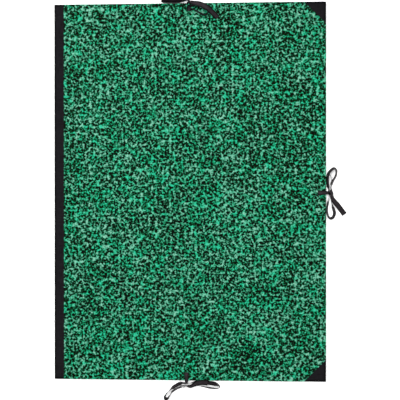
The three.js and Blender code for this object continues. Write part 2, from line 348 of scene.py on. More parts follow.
class Effects:
    """Shader node groups that several finishes share."""

    def __init__(self) -> None:
        """Build each group once."""
        self.weave = self._weave()
        self.fibre = self._fibre()
        self.wear_and_shade = self._wear_and_shade()
        self.tab = self._tab()

    @staticmethod
    def _group(name: str, inputs: Mapping[str, float],
               outputs: Sequence[str]) -> tuple[bpy.types.NodeTree, Bench, bpy.types.Node, bpy.types.Node]:
        """Start a group with an input for coordinates, named Vector.

        Args:
            name: The group's name.
            inputs: Each further input's name and usual value.
            outputs: The names of its value outputs.

        Returns:
            The group, its bench, and its input and output nodes.
        """
        group = bpy.data.node_groups.new(name, "ShaderNodeTree")
        group.interface.new_socket(name="Vector", in_out="INPUT", socket_type="NodeSocketVector")
        for label, value in inputs.items():
            socket = group.interface.new_socket(name=label, in_out="INPUT", socket_type="NodeSocketFloat")
            socket.default_value = value
        for label in outputs:
            group.interface.new_socket(name=label, in_out="OUTPUT", socket_type="NodeSocketFloat")
        bench = Bench(group)
        return group, bench, bench.add("NodeGroupInput"), bench.add("NodeGroupOutput")

    def _weave(self) -> bpy.types.NodeTree:
        """Plain weave: threads that pass over and under, some thicker than others.

        Returns:
            The group.
        """
        group, bench, given, result = self._group(
            "plain_weave", {"Pitch": 0.6 * MM, "Slub": 0.3}, ["Height", "Thread"],
        )
        split = bench.add("ShaderNodeSeparateXYZ", {0: given.outputs["Vector"]})
        turns = bench.math("DIVIDE", math.pi, given.outputs["Pitch"])
        warp = bench.math("SINE", bench.times(split.outputs[0], turns))
        weft = bench.math("SINE", bench.times(split.outputs[1], turns))
        crossing = bench.times(warp, weft)
        height = bench.total(bench.times(crossing, 0.5), 0.5)
        long_way = bench.add("ShaderNodeMapping", {"Vector": given.outputs["Vector"], "Scale": (1, 0.06, 1)})
        cross_way = bench.add("ShaderNodeMapping", {"Vector": given.outputs["Vector"], "Scale": (0.06, 1, 1)})
        slubs = bench.total(*(bench.noise(way.outputs[0], 0.9 * MM, 1.0) for way in (long_way, cross_way)))
        thread = bench.spread(slubs, 0.7, 1.3, 0.0, 1.0)
        slubbed = bench.times(bench.math("SUBTRACT", thread, 0.5), given.outputs["Slub"])
        bench.link(bench.total(height, slubbed), result.inputs["Height"])
        bench.link(thread, result.inputs["Thread"])
        return group

    def _fibre(self) -> bpy.types.NodeTree:
        """Felted fibres and small pits of a sheet of paper.

        Returns:
            The group.
        """
        group, bench, given, result = self._group("paper_fibre", {"Length": 2 * MM}, ["Height", "Fleck"])
        scale = bench.math("DIVIDE", 1.0, given.outputs["Length"])
        placed = {"Vector": given.outputs["Vector"], "Scale": scale}
        fibres = bench.add("ShaderNodeTexNoise", {**placed, "Detail": 5.0, "Roughness": 0.65, "Distortion": 1.2})
        cells = bench.add("ShaderNodeTexVoronoi", {**placed, "Randomness": 1.0}, feature="F1")
        fleck = bench.spread(cells.outputs["Distance"], 0.05, 0.22, 1.0, 0.0)
        bench.link(fibres.outputs["Fac"], result.inputs["Height"])
        bench.link(fleck, result.inputs["Fleck"])
        return group

    def _wear_and_shade(self) -> bpy.types.NodeTree:
        """Rubbed patches on the covers' outermost edges, and a painted shade on the rim inside those edges.

        Returns:
            The group.
        """
        group, bench, given, result = self._group(
            "edge_wear_and_shade",
            {"Fore Edge": 260 * MM, "Head Edge": 360 * MM, "Half Thickness": 3.65 * MM, "Reach": 0.9 * MM,
             "Rim Width": 5.6 * MM},
            ["Rubbed", "Rim"],
        )
        split = bench.add("ShaderNodeSeparateXYZ", {0: given.outputs["Vector"]})
        across = bench.math("SUBTRACT", given.outputs["Fore Edge"], bench.math("ABSOLUTE", split.outputs[0]))
        down = bench.math("SUBTRACT", given.outputs["Head Edge"], bench.math("ABSOLUTE", split.outputs[1]))
        inwards = bench.math("MINIMUM", across, down)
        nearest = bench.math("DIVIDE", inwards, given.outputs["Reach"])
        beside = bench.math("SUBTRACT", 1.0, nearest, clamp=True)
        level = bench.math("ABSOLUTE", bench.math("SUBTRACT", split.outputs[2], given.outputs["Half Thickness"]))
        off_face = bench.math("SUBTRACT", given.outputs["Half Thickness"], level)
        on_edge = bench.math("SUBTRACT", 1.0, bench.math("DIVIDE", off_face, given.outputs["Reach"]), clamp=True)
        near = bench.times(beside, on_edge)
        patches = bench.spread(bench.noise(given.outputs["Vector"], 7 * MM, 4.0, 0.7), 0.46, 0.66, 0.0, 1.0)
        bench.link(bench.times(near, patches), result.inputs["Rubbed"])
        # Rim: painted shade, full at the outer edges and fading inwards over Rim Width
        rim = bench.math("SUBTRACT", 1.0, bench.math("DIVIDE", inwards, given.outputs["Rim Width"]), clamp=True)
        bench.link(bench.spread(rim, 0.0, 0.6, 0.0, 1.0), result.inputs["Rim"])
        return group

    def _tab(self) -> bpy.types.NodeTree:
        """Faint rise of a sheet over a ribbon's end that is glued under it.

        Returns:
            The group.
        """
        group, bench, given, result = self._group(
            "glued_tab_rise",
            {"Middle X": 0.0, "Middle Y": 0.0, "Half X": 15 * MM, "Half Y": 5 * MM, "Slope": 0.8 * MM},
            ["Rise"],
        )
        split = bench.add("ShaderNodeSeparateXYZ", {0: given.outputs["Vector"]})
        rises = []
        for i, letter in enumerate("XY"):
            from_middle = bench.math("SUBTRACT", split.outputs[i], given.outputs[f"Middle {letter}"])
            away = bench.math("ABSOLUTE", from_middle)
            inside = bench.math("SUBTRACT", given.outputs[f"Half {letter}"], away)
            rises.append(bench.math("DIVIDE", inside, given.outputs["Slope"], clamp=True))
        bench.link(bench.math("MINIMUM", *rises), result.inputs["Rise"])
        return group


class Finish:
    """A surface finish: a Principled shader with its own nodes."""

    name = "finish"

    def __init__(self, effects: Effects) -> None:
        """Start the material and wire it.

        Args:
            effects: The shared node groups.
        """
        self.material = bpy.data.materials.new(self.name)
        self.material.use_nodes = True
        self.bench = Bench(self.material.node_tree)
        self.bench.tree.nodes.clear()
        self.shader = self.bench.add("ShaderNodeBsdfPrincipled")
        output = self.bench.add("ShaderNodeOutputMaterial")
        self.bench.link(self.shader.outputs[0], output.inputs[0])
        self.object_space = self.bench.add("ShaderNodeTexCoord").outputs["Object"]
        self.wire(effects)

    def wire(self, effects: Effects) -> None:
        """Wire the finish's own nodes; each finish has its own."""
        raise NotImplementedError

    def group(self, tree: bpy.types.NodeTree, **values: float) -> bpy.types.Node:
        """Place a shared group on the object's coordinates, with values named with underscores.

        Args:
            tree: The group.
            values: Its inputs' values.

        Returns:
            The group's node.
        """
        node = self.bench.add("ShaderNodeGroup", node_tree=tree)
        self.bench.link(self.object_space, node.inputs["Vector"])
        for name, value in values.items():
            node.inputs[name.replace("_", " ")].default_value = value
        return node

    def noise(self, size: float, *settings: float) -> bpy.types.NodeSocket:
        """Add a Noise texture on the object's coordinates, with the bench's further settings."""
        return self.bench.noise(self.object_space, size, *settings)

    def surface(self, colour: bpy.types.NodeSocket, roughness: bpy.types.NodeSocket,
                normal: bpy.types.NodeSocket | None = None) -> None:
        """Join the finish's colour, roughness and relief to its shader."""
        for name, out in (("Base Color", colour), ("Roughness", roughness), ("Normal", normal)):
            if out is not None:
                self.bench.link(out, self.shader.inputs[name])

    def set(self, **values: Any) -> None:
        """Set plain values on the shader's own sockets, named with underscores."""
        for name, value in values.items():
            self.shader.inputs[name.replace("_", " ")].default_value = value

    def bump(self, height: bpy.types.NodeSocket, strength: float, depth: float,
             under: bpy.types.NodeSocket | None = None) -> bpy.types.NodeSocket:
        """Add a Bump node.

        Args:
            height: Height from 0 to 1.
            strength: Share of the bump that shows.
            depth: Depth of the relief in metres.
            under: A coarser relief's normal that this one lies on.

        Returns:
            The normal's socket.
        """
        node = self.bench.add("ShaderNodeBump", {"Height": height, "Strength": strength, "Distance": depth})
        if under is not None:
            self.bench.link(under, node.inputs["Normal"])
        return node.outputs["Normal"]


class MottledPaper(Finish):
    """Green paper with dark sponged blotches, smooth and faintly glazed."""

    name = "mottled_paper_green"
    stops = (
        (0.41, (0, 8, 0)),
        (0.455, (0, 24, 4)),
        (0.49, (2, 78, 46)),
        (0.525, (40, 132, 98)),
        (0.57, (82, 164, 132)),
        (0.65, (140, 210, 182)),
    )

    def wire(self, effects: Effects) -> None:
        """Lay sponged blotches, darker clusters, patches of deeper green, fibre and rubbed edges.

        Args:
            effects: The shared node groups.
        """
        bench = self.bench
        patches = self.noise(17 * MM, 2.0, 0.6, 0.5)
        blotches = self.noise(3.4 * MM, 1.6, 0.45, 0.3)
        clusters = self.noise(42 * MM, 1.5, 0.5, 0.4)
        pull = bench.sway(self.object_space, 5 * MM)
        pulled = bench.add("ShaderNodeVectorMath", {0: self.object_space, 1: pull}).outputs[0]
        cells = {"Vector": pulled, "Scale": 1 / (7.0 * MM), "Randomness": 0.85}
        spots = bench.add("ShaderNodeTexVoronoi", cells, feature="F1", voronoi_dimensions="2D").outputs["Distance"]
        parts = ((blotches, 0.60), (clusters, 0.12), (spots, 0.28))
        tone = bench.total(*(bench.times(part, share) for part, share in parts), 0.024)
        colour = bench.ramp(tone, [(place, linear(*stop)) for place, stop in self.stops])
        fibre = self.group(effects.fibre, Length=1.6 * MM)
        rubbed = self.group(effects.wear_and_shade).outputs["Rubbed"]
        deep = bench.mix(1.0, colour, (0.02, 1.04, 0.80, 1), "MULTIPLY")
        tinted = bench.mix(bench.spread(patches, 0.42, 0.6, 0.0, 0.9), colour, deep)
        worn = bench.mix(bench.times(rubbed, 0.6), tinted, paint(150, 176, 150))
        waves = self.bump(self.noise(60 * MM, 1.0), 0.25, 0.25 * MM)
        relief = self.bump(fibre.outputs["Height"], 0.3, 0.05 * MM, waves)
        self.surface(worn, bench.spread(tone, 0.4, 0.62, 0.78, 0.66), relief)
        self.set(Specular_IOR_Level=0.06)


class BookCloth(Finish):
    """Black book cloth: fine plain weave, slightly dusty, matt."""

    name = "book_cloth_black"

    def wire(self, effects: Effects) -> None:
        """Weave the threads, paint shade on the rim along the outer edges and lighten its rubbed edge.

        Args:
            effects: The shared node groups.
        """
        bench = self.bench
        weave = self.group(effects.weave, Pitch=0.55 * MM, Slub=0.4)
        dust = bench.spread(self.noise(14 * MM, 4.0, 0.6), 0.35, 0.7, 0.0, 1.0)
        threads = bench.mix(weave.outputs["Thread"], paint(13, 12, 15), paint(31, 29, 33))
        dusted = bench.mix(bench.times(dust, 0.12), threads, paint(50, 48, 52))
        edges = self.group(effects.wear_and_shade)
        # Painted shade: the rim along the outer edges is darkened to near-black, where the rounded edges turn away
        # from the light
        pressed = bench.mix(bench.times(edges.outputs["Rim"], 0.85), dusted, paint(1, 1, 2))
        rubbed = bench.times(edges.outputs["Rubbed"], 0.18)
        height = weave.outputs["Height"]
        self.surface(bench.mix(rubbed, pressed, paint(96, 92, 96)), bench.spread(height, 0.0, 1.0, 0.92, 0.74),
                     self.bump(height, 0.7, 0.12 * MM))
        self.set(Specular_IOR_Level=0.07, Sheen_Weight=0.02, Sheen_Roughness=0.5)


class SatinRibbon(Finish):
    """Black woven ribbon with fine cords across, a soft sheen partly painted as a lighter grey face, and edges
    painted dark as shade.
    """

    name = "satin_ribbon_black"
    width = 10 * MM

    def wire(self, effects: Effects) -> None:
        """Lay the cords, the painted sheen of the face and the painted shade of the edges on the ribbon's own UV
        map, which is in metres.

        Args:
            effects: The shared node groups; not used.
        """
        bench = self.bench
        surface = bench.add("ShaderNodeUVMap", uv_map="surface").outputs["UV"]
        split = bench.add("ShaderNodeSeparateXYZ", {0: surface})
        cords = bench.math("SINE", bench.times(split.outputs[1], 2 * math.pi / (0.62 * MM)))
        ends = bench.math("SINE", bench.times(split.outputs[0], 2 * math.pi / (0.4 * MM)))
        height = bench.total(bench.times(cords, 0.36), bench.times(ends, 0.14), 0.5)
        half = self.width / 2
        middle = bench.math("ABSOLUTE", bench.math("SUBTRACT", split.outputs[0], half))
        # Painted shade: the ribbon darkens to near-black towards both edges, as the edges of a curled ribbon fall
        # into shade
        edge_painted_shade = bench.spread(middle, half - 2.8 * MM, half - 1.5 * MM, 0.0, 1.0)
        drawn = bench.add("ShaderNodeMapping", {"Vector": surface, "Scale": (1, 0.08, 1)})
        streaks = bench.spread(bench.noise(drawn.outputs[0], 0.8 * MM, 2.0), 0.3, 0.7, 0.0, 1.0)
        # The lengthwise streaks are the weave's own; the grey they reach, lighter than a black ribbon, is a
        # painted sheen
        body = bench.mix(streaks, paint(18, 15, 17), paint(62, 54, 59))
        shaded_edges = bench.mix(bench.times(edge_painted_shade, 0.92), body, paint(1, 1, 2))
        self.surface(shaded_edges, bench.spread(streaks, 0.0, 1.0, 0.44, 0.56), self.bump(height, 0.5, 0.07 * MM))
        self.set(Specular_IOR_Level=0.07, Sheen_Weight=0.02, Sheen_Roughness=0.4, Sheen_Tint=(0.9, 0.72, 0.84, 1))


class LiningPaper(Finish):
    """Pale uncoated sheet pasted inside a cover."""

    name = "lining_paper_pale"
    tab_long = 15.8 * MM  # half of a glued ribbon end, with the slope of the sheet over it
    tab_wide = 5.8 * MM
    tabs = (
        (229.7 * MM, -2 * MM, tab_long, tab_wide),
        (0.0, 329.7 * MM, tab_wide, tab_long),
        (-5 * MM, -329.7 * MM, tab_wide, tab_long),
    )

    def wire(self, effects: Effects) -> None:
        """Lay fibre, flecks, the slight cockle of pasted paper and the ribbons' ends that show through.

        Args:
            effects: The shared node groups.
        """
        bench = self.bench
        fibre = self.group(effects.fibre, Length=2.4 * MM)
        cloud = bench.spread(self.noise(24 * MM, 3.0), 0.3, 0.7, 0.0, 1.0)
        sheet = bench.mix(cloud, paint(206, 201, 188), paint(219, 214, 202))
        flecked = bench.mix(bench.times(fibre.outputs["Fleck"], 0.10), sheet, paint(150, 138, 120))
        rise = None
        for x, y, half_x, half_y in self.tabs:
            tab = self.group(effects.tab, Middle_X=x, Middle_Y=y, Half_X=half_x, Half_Y=half_y).outputs["Rise"]
            rise = tab if rise is None else bench.math("MAXIMUM", rise, tab)
        over_tabs = self.bump(rise, 1.0, 0.25 * MM)
        cockle = self.bump(self.noise(45 * MM, 1.0), 0.3, 0.5 * MM, over_tabs)
        height = fibre.outputs["Height"]
        relief = self.bump(height, 0.5, 0.06 * MM, cockle)
        self.surface(flecked, bench.spread(height, 0.3, 0.7, 0.78, 0.92), relief)
        self.set(Specular_IOR_Level=0.3)


class Greyboard(Finish):
    """Rough grey-brown board of pressed waste paper."""

    name = "greyboard_pressed"

    def wire(self, effects: Effects) -> None:
        """Lay coarse fibres and dark flecks.

        Args:
            effects: The shared node groups.
        """
        bench = self.bench
        fibre = self.group(effects.fibre, Length=1.2 * MM)
        cloud = bench.spread(fibre.outputs["Height"], 0.3, 0.7, 0.0, 1.0)
        pulp = bench.mix(cloud, paint(134, 126, 112), paint(165, 157, 143))
        flecked = bench.mix(bench.times(fibre.outputs["Fleck"], 0.35), pulp, paint(88, 80, 70))
        relief = self.bump(fibre.outputs["Height"], 0.7, 0.12 * MM)
        self.surface(flecked, bench.spread(cloud, 0.0, 1.0, 0.85, 0.96), relief)


class StudioFloor(Finish):
    """Plain white floor with the faintest tooth."""

    name = "studio_floor_white"

    def wire(self, effects: Effects) -> None:
        """Vary the white a little, and let it glow faintly as a lit ground does.

        Args:
            effects: The shared node groups; not used.
        """
        bench = self.bench
        tooth = bench.spread(self.noise(300 * MM, 2.0), 0.3, 0.7, 0.0, 1.0)
        colour = bench.mix(tooth, (0.94, 0.94, 0.94, 1), (0.95, 0.95, 0.95, 1))
        self.surface(colour, bench.spread(tooth, 0.0, 1.0, 0.85, 0.9))
        self.set(Specular_IOR_Level=0.1, Emission_Color=(1, 1, 1, 1), Emission_Strength=0.3)


@dataclass
class Finishes:
    """Every finish of the folder, by the record's slots."""

    by_slot: dict[Slot, bpy.types.Material]
    floor: bpy.types.Material

    @classmethod
    def mixed(cls) -> "Finishes":
        """Build the shared effects and each finish once.

        Returns:
            The finishes.
        """
        effects = Effects()
        return cls(
            by_slot={
                Slot.GREYBOARD: Greyboard(effects).material,
                Slot.MOTTLED_PAPER: MottledPaper(effects).material,
                Slot.BOOK_CLOTH: BookCloth(effects).material,
                Slot.LINING_PAPER: LiningPaper(effects).material,
                Slot.RIBBON: SatinRibbon(effects).material,
            },
            floor=StudioFloor(effects).material,
        )


def sheet_through(rows: Sequence[Sequence[Vector]]) -> bmesh.types.BMesh:
    """Lay a grid through rows of points, with a UV map in metres.

    Args:
        rows: Rows of points, all of the same length.

    Returns:
        The sheet, without thickness.
    """
    sheet = bmesh.new()
    across, along = len(rows[0]) - 1, len(rows) - 1
    bmesh.ops.create_grid(sheet, x_segments=across, y_segments=along, size=0.5)
    lengths, widths = [0.0], [0.0]
    middle = across // 2
    for before, after in zip(rows, rows[1:]):
        lengths.append(lengths[-1] + (after[middle] - before[middle]).length)
    for before, after in zip(rows[0], rows[0][1:]):
        widths.append(widths[-1] + (after - before).length)
    surface = sheet.loops.layers.uv.new("surface")
    places = {vert: (round((vert.co.y + 0.5) * along), round((vert.co.x + 0.5) * across)) for vert in sheet.verts}
    for face in sheet.faces:
        for loop in face.loops:
            i, j = places[loop.vert]
            loop[surface].uv = (widths[j], lengths[i])
    for vert, (i, j) in places.items():
        vert.co = rows[i][j]
    sheet.normal_update()
    return sheet


@dataclass
class Maker:
    """Turns finished shapes into dressed pieces."""

    finishes: Finishes

    def piece(self, name: str, shape: bmesh.types.BMesh, slot: Slot, thickness: float, offset: float = -1.0,
              sharp: float = 35.0) -> bpy.types.Object:
        """Give a sheet its thickness and finish.

        Args:
            name: The piece's name.
            shape: Its sheet; it is freed.
            slot: The record's material slot.
            thickness: Thickness of the sheet in metres.
            offset: -1 to thicken inwards, 0 to both sides.
            sharp: Angle in degrees from which an edge is drawn sharp.

        Returns:
            The piece, at the origin and unturned.
        """
        mesh = bpy.data.meshes.new(name)
        shape.to_mesh(mesh)
        shape.free()
        mesh.materials.append(self.finishes.by_slot[slot])
        thing = bpy.data.objects.new(name, mesh)
        bpy.context.scene.collection.objects.link(thing)
        wall = thing.modifiers.new("thickness", "SOLIDIFY")
        wall.thickness = thickness
        wall.offset = offset
        wall.use_even_offset = True
        self._settle(thing, sharp)
        log.info("%s: %d faces", name, len(thing.data.polygons))
        return thing

    @staticmethod
    def _settle(thing: bpy.types.Object, sharp: float) -> None:
        """Apply the modifiers and mark the sharp edges.

        Args:
            thing: The piece with its modifiers.
            sharp: Angle in degrees from which an edge is drawn sharp.
        """
        bpy.context.view_layer.update()
        depsgraph = bpy.context.evaluated_depsgraph_get()
        solid = bpy.data.meshes.new_from_object(
            thing.evaluated_get(depsgraph), preserve_all_data_layers=True, depsgraph=depsgraph
        )
        sheet, name = thing.data, thing.data.name
        thing.modifiers.clear()
        thing.data = solid
        bpy.data.meshes.remove(sheet)
        solid.name = name
        solid.polygons.foreach_set("use_smooth", [True] * len(solid.polygons))
        solid.set_sharp_from_angle(angle=math.radians(sharp))


@dataclass(frozen=True)
class Softbox:
    """A square soft light that looks at the folder."""

    name: str
    at: Vector
    size: float
    power: float

    def hang(self) -> None:
        """Put the light into the scene."""
        lamp = bpy.data.lights.new(self.name, "AREA")
        lamp.energy = self.power
        lamp.size = self.size
        thing = bpy.data.objects.new(self.name, lamp)
        aim = (-self.at).to_track_quat("-Z", "Y")
        thing.matrix_world = Matrix.Translation(self.at) @ aim.to_matrix().to_4x4()
        bpy.context.scene.collection.objects.link(thing)


@dataclass
class Studio:
    """White floor, soft light and the camera of the photograph; angles in degrees, the lens in millimetres."""

    camera_at: tuple[float, float, float] = (0.1044, -0.0111, 1.600)
    yaw: float = 2.994
    pitch: float = -0.159
    roll: float = -0.017
    lens: float = 75.30
    air: float = 1.06
    walls: tuple[tuple[float, float], ...] = ((0.0, 1.0), (0.18, 0.96), (0.5, 0.64), (0.8, 0.36), (0.97, 0.24))
    floor_half: float = 6.0

    def build(self, finishes: Finishes) -> None:
        """Set up the camera, the light and the floor.

        Args:
            finishes: Holds the floor's finish.
        """
        self._camera()
        self._air()
        Softbox("softbox_overhead", Vector((-0.35, 0.45, 2.6)), 1.3, 58).hang()
        Softbox("softbox_left", Vector((-2.1, 1.5, 1.7)), 1.5, 26).hang()
        Softbox("softbox_right", Vector((2.3, -1.2, 1.8)), 1.5, 14).hang()
        self._floor(finishes.floor)
        log.info("studio: camera, three softboxes and floor")

    def _camera(self) -> None:
        """Place the camera that the photograph was taken from."""
        lens = bpy.data.cameras.new("photo_camera")
        lens.lens = self.lens
        lens.sensor_width = 36
        lens.clip_end = 20
        thing = bpy.data.objects.new("photo_camera", lens)
        turn = Matrix.Rotation(math.radians(self.yaw), 4, "Y")
        turn = turn @ Matrix.Rotation(math.radians(self.pitch), 4, "X")
        turn = turn @ Matrix.Rotation(math.radians(self.roll), 4, "Z")
        thing.matrix_world = Matrix.Translation(self.camera_at) @ turn
        bpy.context.scene.collection.objects.link(thing)
        bpy.context.scene.camera = thing

    def _air(self) -> None:
        """Fill the room with white light from its walls, darker overhead where the camera hangs."""
        world = bpy.data.worlds.new("studio_air")
        world.use_nodes = True
        bench = Bench(world.node_tree)
        direction = bench.add("ShaderNodeTexCoord").outputs["Generated"]
        height = bench.add("ShaderNodeSeparateXYZ", {0: direction}).outputs[2]
        walls = bench.ramp(height, [(rise, (white, white, white)) for rise, white in self.walls])
        background = world.node_tree.nodes["Background"]
        bench.link(walls, background.inputs["Color"])
        background.inputs["Strength"].default_value = self.air
        bpy.context.scene.world = world
        bpy.context.scene.view_settings.view_transform = "Standard"

    def _floor(self, finish: bpy.types.Material) -> None:
        """Lay the floor just under the folder.

        Args:
            finish: The floor's material.
        """
        shape = bmesh.new()
        bmesh.ops.create_grid(shape, x_segments=1, y_segments=1, size=self.floor_half)
        mesh = bpy.data.meshes.new("floor")
        shape.to_mesh(mesh)
        shape.free()
        mesh.materials.append(finish)
        thing = bpy.data.objects.new("floor", mesh)
        bpy.context.scene.collection.objects.link(thing)


@dataclass(frozen=True)
class Station:
    """One cross line of a ribbon: its middle, its tilt and its width."""

    point: Vector
    tilt: float
    width: float


RoutePoint = tuple[float, ...]


@dataclass
class Ribbon:
    """One flat ribbon: glued tab, passage through the slit, and its half of the tied bow.

    Each route point is (out, along, height, tilt, pinch), lengths in millimetres and tilt in degrees.
    """

    tie: Tie
    cover: Cover
    length: float
    route: Sequence[RoutePoint]
    datum: float = 0.0
    width: float = 10 * MM
    thickness: float = 0.3 * MM
    tab: float = 30 * MM
    lift: float = 0.05 * MM
    over_edge: float = 1.4 * MM
    lean: float = 0.0
    drawn_in: float = 0.66
    steps: int = 6
    lines_across: int = 6
    in_slit: int = 2
    at_mouth: int = 4

    @property
    def node(self) -> str:
        """Name of the solid that the ribbon stands for."""
        return f"{self.cover.value}_{self.tie.value}_ribbon"

    def _held(self, sizes: FolderSizes, frame_of: TieFrame) -> list[Station]:
        """Run the glued tab, the way through the slit and the start along the outer face.

        Args:
            sizes: The folder's sizes.
            frame_of: The tie's frame.

        Returns:
            The stations from the tab's end to just short of the cover's edge.
        """
        middle = self.lift + self.thickness / 2
        tab_height = sizes.board_top + middle
        corner = sizes.slit_width / 2 - self.thickness / 2
        slit = -sizes.slit_from_edge
        on_face = self.route[0][0] * MM - self.over_edge
        section = [
            (slit - sizes.slit_width / 2 - self.tab, tab_height),
            (slit - corner, tab_height),
            (slit, tab_height - corner),
            (slit, middle + corner),
            (slit + corner, middle),
            ((slit + corner + on_face) / 2, middle),
            (on_face, middle),
        ]
        front = self.cover is Cover.FRONT
        shares = [1.0] * (len(section) - 2) + [(1 + self.drawn_in) / 2, self.drawn_in]
        return [
            Station(frame_of.place(out, 0, sizes.closed_height - height if front else height), 0.0,
                    self.width * share)
            for (out, height), share in zip(section, shares)
        ]

    def _free(self, frame_of: TieFrame, start: Vector) -> list[Station]:
        """Run the free half bow on one smooth curve through the route's points.

        Args:
            frame_of: The tie's frame.
            start: Where the held part ends.

        Returns:
            The stations after the start.
        """
        marks = [start] + [frame_of.place(p[0] * MM, p[1] * MM, self.datum + p[2] * MM) for p in self.route]
        tilts = [0.0] + [self._leant(p) for p in self.route]
        pinches = [self.drawn_in] + [p[4] if len(p) > 4 else 1.0 for p in self.route]
        pinches[1:3] = [min(pinch, self.drawn_in) for pinch in pinches[1:3]]
        stations = []
        for i in range(1, (len(marks) - 1) * self.steps + 1):
            at = i / self.steps
            before = min(int(at), len(marks) - 2)
            share = at - before
            tilt = tilts[before] + (tilts[before + 1] - tilts[before]) * share
            pinch = pinches[before] + (pinches[before + 1] - pinches[before]) * share
            stations.append(Station(self._on_curve(marks, before, share), tilt, self.width * pinch))
        return stations

    def _leant(self, mark: RoutePoint) -> float:
        """Tilt at a mark, where a loop that stands on edge leans a little."""
        stands = abs(mark[3]) == 90 and len(mark) == 4
        return mark[3] + (self.lean if stands else 0.0)

    @staticmethod
    def _on_curve(marks: Sequence[Vector], before: int, share: float) -> Vector:
        """Find a point of the centripetal curve between two marks.

        Args:
            marks: The points that the curve passes.
            before: Number of the mark before the point.
            share: How far it is on the way to the next mark, from 0 to 1.

        Returns:
            The point.
        """
        b, c = marks[before], marks[before + 1]
        a = marks[before - 1] if before > 0 else 2 * b - c
        d = marks[before + 2] if before + 2 < len(marks) else 2 * c - b
        gap_ab, gap_bc, gap_cd = ((q - p).length ** 0.5 for p, q in ((a, b), (b, c), (c, d)))
        leave = ((b - a) / gap_ab - (c - a) / (gap_ab + gap_bc) + (c - b) / gap_bc) * gap_bc
        reach = ((c - b) / gap_bc - (d - b) / (gap_bc + gap_cd) + (d - c) / gap_cd) * gap_bc
        squared = (-3 * b + 3 * c - 2 * leave - reach) * share * share
        cubed = (2 * b - 2 * c + leave + reach) * share ** 3
        return b + leave * share + squared + cubed

    def _rows(self, stations: Sequence[Station], along: Vector) -> list[list[Vector]]:
        """Lay a row of points across the ribbon at each station.

        Args:
            stations: The ribbon's cross lines.
            along: Direction across the ribbon where it starts.

        Returns:
            A row of points for each station.
        """
        up = Vector((0, 0, 1))
        across = along.copy()
        rows = []
        last = len(stations) - 1
        for i, station in enumerate(stations):
            into = (station.point - stations[max(i - 1, 0)].point).normalized()
            out_of = (stations[min(i + 1, last)].point - station.point).normalized()
            way = (into + out_of).normalized()
            level = up.cross(way)
            if level.length > 0.3:
                across = level.normalized()
            tilt = math.radians(station.tilt)
            line = across * math.cos(tilt) + up * math.sin(tilt)
            line = (line - way * line.dot(way)).normalized()
            shares = (j / self.lines_across - 0.5 for j in range(self.lines_across + 1))
            rows.append([station.point + line * (station.width * share) for share in shares])
        return rows

    def build(self, maker: Maker, sizes: FolderSizes, frame_of: TieFrame) -> bpy.types.Object:
        """Args:
            maker: Dresses the ribbon.
            sizes: The folder's sizes.
            frame_of: The tie's frame.

        Returns:
            The ribbon.
        """
        held = self._held(sizes, frame_of)
        free = self._free(frame_of, held[-1].point)
        rows = self._rows([*held, *free], frame_of.along)
        name = f"{self.cover.value}_{self.tie.value}"
        glued = maker.piece(f"{name}_glued_tab", sheet_through(rows[:self.in_slit + 1]), Slot.RIBBON,
                            self.thickness, offset=0.0, sharp=50.0)
        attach(glued, self.cover.body)
        ribbon = maker.piece(f"{name}_half_bow", sheet_through(rows[self.in_slit:]), Slot.RIBBON,
                             self.thickness, offset=0.0, sharp=50.0)
        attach(ribbon, self.cover.body)
        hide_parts(self.node)
        return ribbon


